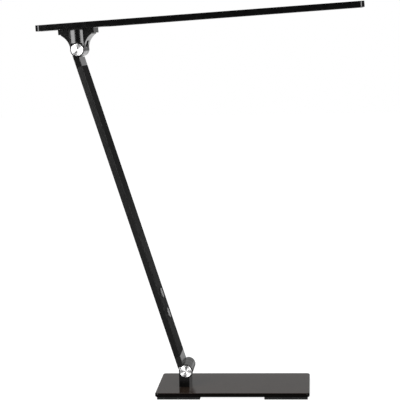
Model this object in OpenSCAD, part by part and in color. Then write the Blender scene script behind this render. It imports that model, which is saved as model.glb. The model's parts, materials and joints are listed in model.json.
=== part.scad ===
// Folding LED desk lamp: a flat base, a wide slab arm and a slim light bar on two friction hinges.
// Frame: origin on the table under the base hinge, +X towards the bar's long end, +Z up.
// The base hinge and the head hinge both turn about lines parallel to Y.

/* [Base] */
// Length of the base plate along X
base_len = 180; // [150:1:240]
// Width of the base plate along Y
base_wid = 110; // [90:1:160]
// Thickness of the base plate
base_thk = 4.8; // [4:0.2:8]
// How far the plate reaches to the left of the base hinge
base_left = 34; // [28:1:45]
// Radius of the plate's corners seen from above
base_corner = 4; // [2:0.5:8]
// Chamfer round the plate's faces
base_edge = 1.2; // [0.4:0.1:1.6]
// Length of each foot along X
foot_len = 50.4; // [30:0.2:60]
// How far the feet lift the plate off the table
foot_lift = 3.2; // [2:0.2:5]
// How deep each foot sits in its recess in the plate
foot_seat = 0.8; // [0.5:0.1:1.2]
// Distance from the plate's edges to the feet
foot_inset = 2.2; // [2:0.2:6]

/* [Hinges] */
// Outer radius of both hinge barrels
barrel_r = 8.25; // [8:0.05:9.5]
// Length of both hinge barrels along Y
barrel_len = 45; // [45:1:60]
// Height of the base hinge axis above the plate
axis_rise = 18.9; // [18.5:0.1:26]
// Radius of the hollow hinge pins
pin_r = 3.5; // [3.4:0.05:3.8]
// Radius of the cable hole along each pin
pin_bore_r = 1.5; // [1.2:0.1:1.8]
// Radius of the turned caps that close the barrels
cap_r = 7; // [6.6:0.05:7.4]
// Thickness of the turned caps
cap_thk = 2; // [1.5:0.1:2.4]
// How far the caps stand out of the barrels
cap_proud = 0.4; // [0.2:0.1:1]
// Thickness of the friction washers beside the centre knuckles
washer_thk = 0.3; // [0.2:0.05:0.6]
// Thickness of the spring washers under pin head and nut
spring_thk = 1; // [0.6:0.1:1.4]
// Thickness of the pin head and of the nut
nut_thk = 2.5; // [2:0.1:2.8]
// Wall of the bushes in the ears
bush_wall = 1; // [0.8:0.1:1.3]

/* [Base bracket] */
// Reach of the post to the left of the hinge axis
post_left = 8.1; // [7.9:0.05:8.2]
// Reach of the post to the right of the hinge axis
post_right = 4.2; // [3.8:0.1:8]
// Outer radius of the power inlet's body
inlet_r = 4.3; // [4:0.1:4.4]
// Length of the power inlet's body
inlet_len = 11; // [10.5:0.5:12]
// Radius of the inlet's plug hole
inlet_bore_r = 2.75; // [2.6:0.05:2.9]
// Radius of the inlet's centre pin
inlet_pin_r = 1.05; // [0.8:0.05:1.25]
// Depth of the inlet's plug hole
inlet_depth = 9; // [8:0.5:9.5]

/* [Arm] */
// Distance between the two hinge axes
arm_len = 399; // [300:1:480]
// Width of the arm along Y
arm_wid = 45; // [45:1:60]
// Thickness of the arm
arm_thk = 7.2; // [6.6:0.1:7.6]
// Wall thickness of the arm tube
arm_wall = 1.2; // [1:0.05:1.4]
// Gap between the hinge axis plane and the arm's front face
arm_offset = 0.4; // [0.2:0.05:0.6]
// Chamfer along the arm's corners
arm_edge = 0.6; // [0.4:0.1:0.8]
// Lean of the arm from upright at rest, in degrees
arm_lean = 17.5; // [10:0.1:30]
// Distance from each hinge axis to the end of the tube
tube_start = 19.5; // [16:0.5:26]
// Depth of each fitting's plug inside the tube
plug_len = 22; // [18:1:30]

/* [Controls] */
// Radius of the two round buttons
button_r = 6; // [5:0.1:7]
// How far a button stands out of the arm
button_proud = 1; // [0.8:0.1:1.5]
// Travel of a button
button_travel = 0.8; // [0.4:0.1:1]
// Thickness of the flange that keeps a button in the arm
button_flange = 0.8; // [0.6:0.1:1]
// Distance of the power button from the base hinge axis
power_at = 70; // [64:0.5:72]
// Distance of the brightness button from the base hinge axis
mode_at = 95; // [90:0.5:100]
// Length of the control board along the arm
board_len = 56; // [50:1:70]
// Width of the control board
board_wid = 22; // [18:1:30]

/* [Light head] */
// Length of the light head
head_len = 381; // [300:1:480]
// Width of the light head
head_wid = 60; // [52:1:80]
// Thickness of the light head
head_thk = 7.2; // [7.2:0.1:9]
// Reach of the head behind the head hinge
head_back = 46.2; // [40:0.2:60]
// Distance from the head hinge axis to the head's underside
head_drop = 24.4; // [24:0.2:30]
// Upward tilt of the head at rest, in degrees
head_tilt = 3.3; // [0:0.1:15]
// Radius of the head's corners seen from above
head_corner = 5; // [4:0.5:8]
// Wall thickness of the head housing
head_wall = 1.2; // [1:0.1:1.6]
// Width of the lip that holds the diffuser
lip_wid = 1.2; // [0.8:0.1:2]
// Thickness of the lip that holds the diffuser
lip_thk = 1; // [0.8:0.1:1.2]
// Thickness of the steel plate over the head bracket
plate_thk = 2; // [1.6:0.1:2.2]
// Reach of the mount plate beyond the head hinge
plate_reach = 32; // [28:0.5:44]
// Thickness of the milky diffuser
diffuser_thk = 1.5; // [1:0.1:1.6]
// Thickness of the light guide
guide_thk = 3; // [2.4:0.1:3.2]
// Thickness of the reflector sheet
reflector_thk = 0.4; // [0.2:0.05:0.6]
// Distance between neighbouring LEDs
led_pitch = 10; // [8:0.5:20]

/* [Head bracket] */
// Width of the bracket's foot along the head
foot_wid = 42; // [38:1:48]
// Thickness of the foot at its tips
foot_tip = 6; // [4:0.5:8]
// Radius of the bracket's hollow sides
flare_r = 20.2; // [19.5:0.1:21]
// Setback of the bracket's flat faces from the barrel ends
wing_setback = 1.8; // [1.5:0.1:3]

/* [Fasteners and cables] */
// Radius of the screws through the base plate
base_screw_r = 2; // [1.5:0.1:2.2]
// Radius of the screws between head and bracket
head_screw_r = 1.5; // [1.2:0.1:1.8]
// Radius of the screws in the arm's ends
arm_screw_r = 1.5; // [1.2:0.1:1.8]
// Radius of the round cable inside the lamp
cable_r = 0.8; // [0.6:0.05:0.9]

/* [Hidden] */
$fn = 64;

// Overshoot of a cut past the face it opens
cut = 1;
// Radial clearance of a pin turning in a bush
run_fit = 0.05;
// Radial clearance between pieces that are pressed or screwed together
press_fit = 0.02;
// Side clearance of a piece that drops into a pocket
slip_fit = 0.15;
// Gap between a turning edge and the barrel that it clears
turn_gap = 0.6;
// Chamfer on the ends of the barrels and knuckles
barrel_edge = 0.4;
// Chamfer on the ends of small turned pieces
small_edge = 0.25;
// Overlap of two bodies that are joined into one piece
lap = 1;
// Setback of a surface that would otherwise coincide with another
sliver = 0.05;
// Gap under a screw's tip in its hole
tip_gap = 0.3;

// Heights and axes
plate_z = foot_lift;
plate_top = foot_lift + base_thk;
axis_z = plate_top + axis_rise;
// The screws' heads lie in the recess over the left foot
screw_seat_z = plate_z + foot_seat;
screw_grip = base_thk - foot_seat;
head_axis = [-arm_len * sin(arm_lean), 0, axis_z + arm_len * cos(arm_lean)];

// Hinge stations along Y, measured from the middle
ear_in = barrel_len / 6;
ear_out = barrel_len / 2;
knuckle_half = ear_in - washer_thk;
bush_r = pin_r + bush_wall;
cap_in = ear_out + cap_proud - cap_thk;
nut_depth = 4.5;
nut_out = ear_out - nut_depth;
nut_in = nut_out - nut_thk;
spring_in = nut_in - spring_thk;
nut_r = 5.8;
spring_r = 6.3;
spring_top_r = 5.2;
pin_socket_r = 2.4;
pin_socket_depth = 1.4;
lead_gap = 0.2;
cap_hole_r = cap_r + run_fit;
cable_y = (nut_out + cap_in) / 2;

// Arm section, across the arm: the front face is towards the user
arm_front = -arm_offset;
arm_back = -arm_offset - arm_thk;
arm_mid = -arm_offset - arm_thk / 2;
inside_front = arm_front - arm_wall;
inside_back = arm_back + arm_wall;
inside_edge = 0.1;
cable_play = 0.5;
cable_hole_r = cable_r + cable_play;
// The straight hole is wider than the slanted one that runs into it
cable_way_step = 0.3;
cable_way_r = cable_hole_r + cable_way_step;
// Where the slanted cable hole of a fitting meets the straight one
cable_turn = 12;
screw_at = tube_start + plug_len / 2;
fitting_screw_y = 14;
fitting_screw_len = 3.4;
arm_screw_head_r = 1.8 * arm_screw_r;

// Controls
board_thk = 1;
board_from = (power_at + mode_at) / 2 - board_len / 2;
board_top = inside_back + board_thk;
switch_r = 3.2;
stem_r = 1.2;
switch_play = 0.1;
switch_top = inside_front - button_flange - button_travel - switch_play;
switch_floor = 0.3;
stem_dip = 0.2;
stem_gap = 0.3;
button_edge = 0.3;
button_gap = 0.3;
button_hole_r = button_r + button_gap;
flange_wid = 1.2;
flange_r = button_r + flange_wid;
board_lap = 5;

// Base bracket
post_mid = (post_right - post_left) / 2;
saddle_z = axis_z - barrel_r - turn_gap;
inlet_wall = 0.9;
inlet_floor = 1.2;
inlet_x = post_right - inlet_r - inlet_wall;
inlet_z = plate_top + inlet_r + inlet_floor;
inlet_in = ear_out - inlet_len;
contact_root = 1;
contact_setback = 1;
chamber_r = 3.2;
chamber_len = 2.7;
chamber_floor = 0.3;
chamber_in = inlet_in - chamber_len;
lead_wall = 1.4;
lead_play = 0.2;
lead_drop = 1.8;
lead_x = -post_left + lead_wall;
lead_hole_r = cable_r + lead_play;
lead_y = chamber_in + chamber_floor + lead_hole_r;
lead_up_z = axis_z - lead_drop;
base_screw_first = -16;
base_screw_pitch = 10;
base_screw_ys = [for (i = [0 : 2]) base_screw_first + i * base_screw_pitch];
screw_len = 8;
screw_head_r = 2 * base_screw_r;
screw_hole_gap = 0.6;

// Head stack, from the underside up
lip_top = head_drop + lip_thk;
head_top = head_drop + head_thk;
inside_top = head_top - head_wall;
plate_top_h = head_drop + plate_thk;
guide_z = lip_top + diffuser_thk;
reflector_z = guide_z + guide_thk;
head_front = head_len - head_back;
inner_half = head_wid / 2 - head_wall;
window_gap = 0.4;
window_from = plate_reach + window_gap;
window_to = head_front - head_wall - slip_fit;
led_board_thk = 1;
led_thk = 1;
led_long = 2.8;
led_rim = 0.7;
led_gap = 0.3;
// The guide and its boards end where the housing's round corners begin
guide_inset = head_corner - head_wall;
guide_half = inner_half - slip_fit - led_board_thk - led_thk - led_gap;
led_count = floor((window_to - window_from - 2 * guide_inset) / led_pitch);
plate_from = -head_back + head_wall + slip_fit;
tongue = 2.5;
boss_inset = 6;
boss_side = 6.8;
boss_xs = [plate_from + boss_inset, plate_reach - boss_inset];
boss_y = inner_half - boss_side;
boss_r = 3;
plate_screw_r = 1.25;
plate_screw_len = 3;
plate_screw_head_r = 1.8 * plate_screw_r;
head_screw_head_r = 1.8 * head_screw_r;
bolt_inset = 6;
bolt_x = foot_wid / 2 - bolt_inset;
bolt_y = 14;
bolt_len = 6.5;
driver_stand = 1;
board_z = plate_top_h + driver_stand;
driver_thk = 1;
driver_len = 48;
driver_wid = 25;
driver_from = -30;
driver_side = -15;
stand_x = 3;
stand_y = 4;
stand_r = 1.5;
coil_r = 4;
coil_thk = 2;
chip_len = 6;
chip_wid = 8;
chip_thk = 1.6;
socket_len = 5;
socket_wid = 3;
socket_thk = 1.8;
fuse_len = 3;
fuse_wid = 5;
fuse_thk = 1.5;
lead_end_y = 7;
wing_y = ear_out - wing_setback;
// The round rib down each flat face is as wide as the barrel and flush with its end
rib_half = barrel_r - sliver;
rib_rise = wing_setback + 2 * sliver;
rib_r = (rib_half * rib_half + rib_rise * rib_rise) / (2 * rib_rise);
flare_x = barrel_r + flare_r - sliver;
slot_clear = 1.5;
slot_top = barrel_r + slot_clear;
tip_relief = 3;

// Placement in the frame
module in_arm() { translate([0, 0, axis_z]) rotate([0, -arm_lean, 0]) children(); }
module in_head() { translate(head_axis) rotate([0, -head_tilt, 0]) children(); }
module at_base_axis() { translate([0, 0, axis_z]) children(); }
// The upper end of the arm is the lower end mirrored
module at_arm_top() { in_arm() translate([0, 0, arm_len]) mirror([0, 0, 1]) children(); }
// Both sides of the hinge: in front, and behind
module both_sides() { children(); mirror([0, 1, 0]) children(); }

// A round bar along Y from y0 to y1
module bar_y(r, y0, y1) { translate([0, y0, 0]) rotate([-90, 0, 0]) cylinder(h = y1 - y0, r = r); }
// The same bar with both ends chamfered
module barrel_y(r, y0, y1, c) {
    h = y1 - y0;
    translate([0, y0, 0]) rotate([-90, 0, 0]) rotate_extrude()
        polygon([[0, 0], [r - c, 0], [r, c], [r, h - c], [r - c, h], [0, h]]);
}
// A ring along Y
module ring_y(r_out, r_in, y0, y1) {
    difference() {
        bar_y(r_out, y0, y1);
        bar_y(r_in, y0 - cut, y1 + cut);
    }
}
// A round wire through a list of points, with a ball at each bend
module wire(points, r) {
    for (i = [0 : len(points) - 2]) {
        step = points[i + 1] - points[i];
        reach = norm(step);
        translate(points[i])
            rotate([0, acos(step[2] / reach), atan2(step[1], step[0])])
                cylinder(h = reach, r = r);
    }
    for (i = [1 : 1 : len(points) - 2]) translate(points[i]) sphere(r = r * 1.06);
}
// A flat outline with round corners, from corner [x0, y0] to [x1, y1]
module round_rect(x0, y0, x1, y1, r) {
    translate([x0 + r, y0]) square([x1 - x0 - 2 * r, y1 - y0]);
    translate([x0, y0 + r]) square([x1 - x0, y1 - y0 - 2 * r]);
    for (x = [x0 + r, x1 - r], y = [y0 + r, y1 - r]) translate([x, y]) circle(r = r);
}
// A slab with round corners and chamfered edges
module chamfered_slab(x0, y0, x1, y1, thk, r, c) {
    intersection() {
        linear_extrude(thk) round_rect(x0, y0, x1, y1, r);
        translate([0, y1 + cut, 0]) rotate([90, 0, 0]) linear_extrude(y1 - y0 + 2 * cut)
            polygon(bevel_points(x0, 0, x1, thk, c));
        translate([x0 - cut, 0, 0]) rotate([90, 0, 90]) linear_extrude(x1 - x0 + 2 * cut)
            polygon(bevel_points(y0, 0, y1, thk, c));
    }
}
function bevel_points(a0, b0, a1, b1, c) = [
    [a0 + c, b0], [a1 - c, b0], [a1, b0 + c], [a1, b1 - c],
    [a1 - c, b1], [a0 + c, b1], [a0, b1 - c], [a0, b0 + c]
];
// A countersunk screw that points up, with its head's face at z = 0
module countersunk(r, head_r, length) {
    difference() {
        union() {
            cylinder(h = length, r = r);
            cylinder(h = head_r - r, r1 = head_r, r2 = r);
        }
        translate([0, 0, -cut]) cylinder(h = cut + (head_r - r) * 0.7, r = head_r * 0.45, $fn = 6);
    }
}
// The hole that such a screw needs, with its cone carried on past the face
module countersink(r, head_r, length) {
    cone = cut + head_r - r + press_fit;
    cylinder(h = length, r = r + press_fit);
    translate([0, 0, -cut]) cylinder(h = cone, r1 = r + press_fit + cone, r2 = r + press_fit);
}

// Base
module base_plate() {
    color("dimgray") difference() {
        translate([0, 0, plate_z])
            chamfered_slab(-base_left, -base_wid / 2, base_len - base_left, base_wid / 2,
                base_thk, base_corner, base_edge);
        foot_pocket(foot_left_x());
        foot_pocket(foot_right_x());
        for (y = base_screw_ys) translate([post_mid, y, screw_seat_z])
            countersink(base_screw_r, screw_head_r, screw_grip + cut);
    }
}
function foot_left_x() = -base_left + foot_inset;
function foot_right_x() = base_len - base_left - foot_inset - foot_len;
module foot_pocket(x) {
    translate([x - slip_fit, -base_wid / 2 + foot_inset - slip_fit, plate_z - cut])
        cube([foot_len + 2 * slip_fit, base_wid - 2 * foot_inset + 2 * slip_fit, foot_seat + cut]);
}
module foot_pad(x) {
    translate([x, 0, 0]) difference() {
        translate([0, -base_wid / 2 + foot_inset, 0])
            cube([foot_len, base_wid - 2 * foot_inset, foot_lift + foot_seat]);
        if (x < 0) for (y = base_screw_ys) translate([post_mid - x, y, -cut])
            cylinder(h = foot_lift + foot_seat + 2 * cut, r = screw_head_r + screw_hole_gap);
    }
}
module foot_left() { color("black") foot_pad(foot_left_x()); }
module foot_right() { color("black") foot_pad(foot_right_x()); }

// One ear of a clevis, behind the middle: bush seat, then the recess for nut and cap
module ear() { barrel_y(barrel_r, ear_in, ear_out, barrel_edge); }
module ear_holes() {
    bar_y(bush_r + press_fit, ear_in - cut, spring_in + cut);
    bar_y(cap_hole_r, spring_in, ear_out + cut);
}
module base_bracket() {
    color("#141414") difference() {
        union() {
            translate([-post_left, -ear_out, plate_top])
                cube([post_left + post_right, 2 * ear_out, axis_rise]);
            at_base_axis() both_sides() ear();
        }
        translate([-2 * barrel_r, -ear_in, saddle_z])
            cube([4 * barrel_r, 2 * ear_in, axis_rise + barrel_r]);
        at_base_axis() both_sides() ear_holes();
        for (y = base_screw_ys) translate([post_mid, y, plate_top - cut])
            cylinder(h = screw_len + cut + tip_gap, r = base_screw_r + press_fit);
        translate([inlet_x, 0, inlet_z]) {
            bar_y(inlet_r + run_fit, inlet_in, ear_out + cut);
            bar_y(chamber_r, chamber_in, inlet_in + cut);
        }
        translate([lead_x - lead_hole_r, lead_y - lead_hole_r, inlet_z - lead_hole_r])
            cube([inlet_x - lead_x, 2 * lead_hole_r, 2 * lead_hole_r]);
        translate([lead_x, 0, inlet_z])
            bar_y(lead_hole_r, lead_y - lead_hole_r + 2 * sliver, cable_y + lead_hole_r);
        translate([lead_x, cable_y, inlet_z])
            cylinder(h = lead_up_z - inlet_z + lead_hole_r, r = lead_hole_r);
    }
}
module bracket_screws() {
    color("silver") for (y = base_screw_ys) translate([post_mid, y, screw_seat_z])
        countersunk(base_screw_r, screw_head_r, screw_grip + screw_len);
}
module dc_inlet() {
    color("black") translate([inlet_x, 0, inlet_z]) difference() {
        barrel_y(inlet_r, inlet_in, ear_out, small_edge);
        bar_y(inlet_bore_r, ear_out - inlet_depth, ear_out + cut);
        bar_y(inlet_pin_r + press_fit, ear_out - inlet_depth - contact_root, ear_out);
    }
}
module dc_inlet_pin() {
    from = ear_out - inlet_depth - contact_root;
    color("silver") translate([inlet_x, 0, inlet_z])
        barrel_y(inlet_pin_r, from, ear_out - contact_setback, small_edge);
}
module base_lead() {
    color("gray") wire([
        [inlet_x, inlet_in, inlet_z],
        [inlet_x, lead_y, inlet_z],
        [lead_x, lead_y, inlet_z],
        [lead_x, cable_y, inlet_z],
        [lead_x, cable_y, lead_up_z],
        [0, cable_y, axis_z],
        [0, nut_out + lead_gap, axis_z]
    ], cable_r);
}

// Hinge pieces, modelled about the hinge axis
module hinge_bushes() {
    color("goldenrod") both_sides() ring_y(bush_r, pin_r + run_fit, ear_in, spring_in);
}
module hinge_cap() {
    color("gainsboro") barrel_y(cap_r, cap_in, ear_out + cap_proud, small_edge);
}
// Hollow pin: hexagon-socket head in front, cable hole from the rear, and a way out to the arm
module hinge_pin() {
    color("silver") difference() {
        union() {
            bar_y(pin_r, -nut_in, nut_out);
            barrel_y(nut_r, -nut_out, -nut_in, small_edge);
        }
        bar_y(pin_bore_r, -pin_bore_r, nut_out + cut);
        slanted_hole();
        rotate([90, 0, 0]) translate([0, 0, nut_out - pin_socket_depth])
            cylinder(h = pin_socket_depth + cut, r = pin_socket_r, $fn = 6);
    }
}
module slanted_hole() {
    rotate([0, atan2(arm_mid, cable_turn), 0])
        cylinder(h = norm([arm_mid, cable_turn]) + cable_hole_r / 2, r = cable_hole_r);
}
module hinge_nut() {
    color("silver") difference() {
        translate([0, nut_in, 0]) rotate([-90, 0, 0]) cylinder(h = nut_thk, r = nut_r, $fn = 6);
        bar_y(pin_r + press_fit, 0, ear_out);
    }
}
module friction_washers() {
    color("dimgray") both_sides() ring_y(barrel_r - turn_gap, pin_r + press_fit, knuckle_half, ear_in);
}
module spring_washers() {
    color("silver") both_sides() difference() {
        translate([0, spring_in, 0]) rotate([-90, 0, 0])
            cylinder(h = spring_thk, r1 = spring_r, r2 = spring_top_r);
        bar_y(pin_r + run_fit, 0, ear_out);
    }
}

module base_bushes() { at_base_axis() hinge_bushes(); }
module base_cap_front() { at_base_axis() mirror([0, 1, 0]) hinge_cap(); }
module base_cap_rear() { at_base_axis() hinge_cap(); }
module base_hinge_pin() { in_arm() hinge_pin(); }
module base_hinge_nut() { in_arm() hinge_nut(); }
module base_friction_washers() { in_arm() friction_washers(); }
module base_spring_washers() { in_arm() spring_washers(); }
module head_hinge_pin() { at_arm_top() hinge_pin(); }
module head_hinge_nut() { at_arm_top() hinge_nut(); }
module head_friction_washers() { at_arm_top() friction_washers(); }
module head_spring_washers() { at_arm_top() spring_washers(); }
module head_bushes() { in_head() hinge_bushes(); }
module head_cap_front() { in_head() mirror([0, 1, 0]) hinge_cap(); }
module head_cap_rear() { in_head() hinge_cap(); }

// Arm, modelled with its hinge axis at the origin and the arm along +Z
module arm_section(from, to, inset) {
    half = arm_wid / 2 - inset;
    edge = inset > 0 ? inside_edge : arm_edge;
    translate([0, 0, from]) linear_extrude(to - from)
        polygon(bevel_points(arm_back + inset, -half, arm_front - inset, half, edge));
}
module arm_tube() {
    color("#1c1c1c") in_arm() difference() {
        arm_section(tube_start, arm_len - tube_start, 0);
        arm_section(tube_start - cut, arm_len - tube_start + cut, arm_wall);
        for (s = [power_at, mode_at]) translate([inside_front - cut, 0, s]) rotate([0, 90, 0])
            cylinder(h = arm_wall + 2 * cut, r = button_hole_r);
        for (s = [screw_at, arm_len - screw_at]) translate([0, 0, s]) fitting_screw_holes();
    }
}
module fitting_screw_holes() {
    for (y = [-fitting_screw_y, fitting_screw_y]) translate([arm_back, y, 0]) rotate([0, 90, 0])
        countersink(arm_screw_r, arm_screw_head_r, arm_wall + fitting_screw_len + tip_gap);
}
module fitting() {
    color("#6c6c6c") difference() {
        union() {
            barrel_y(barrel_r, -knuckle_half, knuckle_half, barrel_edge);
            translate([arm_back, -knuckle_half, 0])
                cube([arm_thk, 2 * knuckle_half, barrel_r + turn_gap + lap]);
            difference() {
                arm_section(0, tube_start, 0);
                bar_y(barrel_r + turn_gap, -arm_wid, arm_wid);
            }
            arm_section(tube_start - lap, tube_start + plug_len, arm_wall + slip_fit);
        }
        bar_y(pin_r + press_fit, -ear_in - cut, ear_in + cut);
        slanted_hole();
        translate([arm_mid, 0, cable_turn - cable_play])
            cylinder(h = tube_start + plug_len, r = cable_way_r);
        translate([0, 0, screw_at]) fitting_screw_holes();
    }
}
module lower_fitting() { in_arm() fitting(); }
module upper_fitting() { at_arm_top() fitting(); }
module fitting_screws() {
    color("silver") in_arm() for (s = [screw_at, arm_len - screw_at])
        for (y = [-fitting_screw_y, fitting_screw_y]) translate([arm_back, y, s]) rotate([0, 90, 0])
            countersunk(arm_screw_r, arm_screw_head_r, arm_wall + fitting_screw_len);
}
// Cable from the mouth of a hinge pin to a point inside the arm
module hinge_lead(reach) {
    color("gray") wire([
        [0, nut_out, 0], [0, 0, 0], [arm_mid, 0, cable_turn], [arm_mid, 0, reach]
    ], cable_r);
}
module lower_lead() { in_arm() hinge_lead(board_from + board_lap); }
module upper_lead() { at_arm_top() hinge_lead(arm_len - board_from - board_len + board_lap); }

// Controls
module control_board() {
    color("darkgreen") in_arm() translate([inside_back, -board_wid / 2, board_from])
        cube([board_thk, board_wid, board_len]);
}
module dome_switches() {
    color("silver") in_arm() for (s = [power_at, mode_at]) translate([0, 0, s]) difference() {
        translate([board_top, 0, 0]) rotate([0, 90, 0])
            cylinder(h = switch_top - board_top, r = switch_r);
        translate([board_top + switch_floor, 0, 0]) rotate([0, 90, 0])
            cylinder(h = arm_thk, r = stem_r + stem_gap);
    }
}
module button(s) {
    in_arm() translate([0, 0, s]) rotate([0, 90, 0]) {
        translate([0, 0, inside_front])
            cylinder(h = arm_wall + button_proud - button_edge, r = button_r);
        translate([0, 0, arm_front + button_proud - button_edge])
            cylinder(h = button_edge, r1 = button_r, r2 = button_r - button_edge);
        translate([0, 0, inside_front - button_flange]) cylinder(h = button_flange, r = flange_r);
        translate([0, 0, switch_top - stem_dip])
            cylinder(h = inside_front - switch_top, r = stem_r);
    }
}
module power_button() { color("gray") button(power_at); }
module mode_button() { color("gray") button(mode_at); }

// Light head, modelled about the head hinge axis with the head along +X
module head_bracket() {
    color("#101010") in_head() difference() {
        union() {
            translate([0, wing_y, 0]) rotate([90, 0, 0]) linear_extrude(2 * wing_y) difference() {
                translate([-foot_wid / 2, 0]) square([foot_wid, head_drop]);
                for (side = [-1, 1]) translate([side * flare_x, 0]) circle(r = flare_r);
                for (side = [-1, 1]) translate([side * foot_wid / 2 - tip_relief, -cut])
                    square([2 * tip_relief, head_drop - foot_tip + cut]);
            }
            both_sides() intersection() {
                translate([0, ear_out - rib_r, 0]) cylinder(h = head_drop, r = rib_r);
                translate([-rib_half, wing_y - lap, 0])
                    cube([2 * rib_half, wing_setback + 2 * lap, head_drop]);
            }
            both_sides() ear();
        }
        translate([-foot_wid, -ear_in, -2 * barrel_r])
            cube([2 * foot_wid, 2 * ear_in, 2 * barrel_r + slot_top]);
        both_sides() ear_holes();
        translate([0, cable_y, 0]) cylinder(h = head_drop + cut, r = cable_hole_r);
        for (x = [-bolt_x, bolt_x], y = [-bolt_y, bolt_y]) translate([x, y, head_drop - bolt_len])
            cylinder(h = bolt_len + cut, r = head_screw_r + press_fit);
    }
}
module bracket_bolts() {
    color("silver") in_head()
        for (x = [-bolt_x, bolt_x], y = [-bolt_y, bolt_y]) translate([x, y, plate_top_h])
            mirror([0, 0, 1])
                countersunk(head_screw_r, head_screw_head_r, plate_thk + bolt_len - tip_gap);
}
module mount_plate() {
    half = inner_half - slip_fit;
    corner = head_corner - head_wall;
    color("#202020") in_head() difference() {
        union() {
            translate([0, 0, head_drop]) linear_extrude(plate_thk)
                difference() {
                    round_rect(plate_from, -half, plate_reach + 2 * corner, half, corner);
                    translate([plate_reach, -head_wid]) square([head_wid, 2 * head_wid]);
                }
            translate([plate_reach - lap, -half + lip_wid, head_drop])
                cube([lap + tongue, 2 * (half - lip_wid), lip_thk]);
        }
        translate([0, cable_y, head_drop - cut])
            cylinder(h = plate_thk + 2 * cut, r = cable_hole_r);
        for (x = [-bolt_x, bolt_x], y = [-bolt_y, bolt_y]) translate([x, y, plate_top_h])
            mirror([0, 0, 1]) countersink(head_screw_r, head_screw_head_r, plate_thk + cut);
        for (x = boss_xs, y = [-boss_y, boss_y]) translate([x, y, head_drop])
            countersink(plate_screw_r, plate_screw_head_r, plate_thk + cut);
    }
}
module plate_screws() {
    color("silver") in_head() for (x = boss_xs, y = [-boss_y, boss_y])
        translate([x, y, head_drop])
            countersunk(plate_screw_r, plate_screw_head_r, plate_thk + plate_screw_len);
}
module head_housing() {
    half = head_wid / 2;
    color("#161616") in_head() translate([0, 0, head_drop]) difference() {
        linear_extrude(head_thk) round_rect(-head_back, -half, head_front, half, head_corner);
        difference() {
            translate([0, 0, -cut]) linear_extrude(head_thk - head_wall + cut)
                round_rect(-head_back + head_wall, -inner_half, head_front - head_wall, inner_half,
                    head_corner - head_wall);
            for (x = boss_xs, y = [-boss_y, boss_y]) translate([x, y, plate_thk])
                cylinder(h = head_thk, r = boss_r);
            window_lip();
        }
        for (x = boss_xs, y = [-boss_y, boss_y]) translate([x, y, 0])
            cylinder(h = plate_thk + plate_screw_len + tip_gap, r = plate_screw_r + press_fit);
    }
}
// Rim round the window that the diffuser lies on
module window_lip() {
    difference() {
        translate([plate_reach + slip_fit, -head_wid, 0]) cube([head_len, 2 * head_wid, lip_thk]);
        translate([0, 0, -cut]) linear_extrude(lip_thk + 2 * cut)
            round_rect(-head_back, -inner_half + lip_wid, head_front - head_wall - lip_wid,
                inner_half - lip_wid, head_corner - head_wall - lip_wid);
    }
}
// A flat sheet over the window, short of both its ends
module sheet_in_head(half, z, thk) {
    in_head() translate([window_from + guide_inset, -half, z])
        cube([window_to - window_from - 2 * guide_inset, 2 * half, thk]);
}
module diffuser() {
    half = inner_half - slip_fit;
    color("whitesmoke") in_head() translate([0, 0, lip_top]) linear_extrude(diffuser_thk)
        difference() {
            round_rect(-head_back, -half, window_to, half, head_corner - head_wall);
            translate([-head_len, -head_wid]) square([head_len + window_from, 2 * head_wid]);
        }
}
module light_guide() { color("lightcyan") sheet_in_head(guide_half, guide_z, guide_thk); }
module reflector() { color("white") sheet_in_head(guide_half, reflector_z, reflector_thk); }
module led_board(side) {
    outer = inner_half - slip_fit;
    y0 = side > 0 ? outer - led_board_thk : -outer;
    in_head() translate([window_from + guide_inset, y0, guide_z])
        cube([window_to - window_from - 2 * guide_inset, led_board_thk, guide_thk + reflector_thk]);
}
module led_board_front() { color("white") led_board(-1); }
module led_board_rear() { color("white") led_board(1); }
module leds() {
    y = inner_half - slip_fit - led_board_thk - led_thk;
    first = window_from + guide_inset + (led_pitch - led_long) / 2;
    color("lightyellow") in_head() both_sides() for (i = [0 : led_count - 1])
        translate([first + i * led_pitch, y, guide_z + led_rim])
            cube([led_long, led_thk, guide_thk - 2 * led_rim]);
}
module driver_board() {
    color("darkgreen") in_head() {
        translate([driver_from, driver_side, board_z]) cube([driver_len, driver_wid, driver_thk]);
        for (x = [driver_from + stand_x, driver_from + driver_len - stand_x])
            for (y = [driver_side + stand_y, driver_side + driver_wid - stand_y])
                translate([x, y, plate_top_h]) cylinder(h = driver_stand + driver_thk / 2, r = stand_r);
    }
}
// Places a part on the driver board, at a share of its length and of its width
module on_driver(along, across) {
    in_head() translate([
        driver_from + along * driver_len, driver_side + across * driver_wid, board_z + driver_thk
    ]) children();
}
module driver_parts() {
    color("#303030") {
        on_driver(0.33, 0.4) cylinder(h = coil_thk, r = coil_r);
        on_driver(0.54, 0.24) cube([chip_len, chip_wid, chip_thk]);
        on_driver(0.8, 0.28) cube([socket_len, socket_wid, socket_thk]);
        on_driver(0.12, 0.56) cube([fuse_len, fuse_wid, fuse_thk]);
    }
}
module head_lead() {
    z = board_z + driver_thk + cable_r + 2 * sliver;
    color("gray") in_head() wire([
        [0, nut_out + lead_gap, 0], [0, cable_y, 0], [0, cable_y, z], [0, lead_end_y, z]
    ], cable_r);
}

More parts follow.
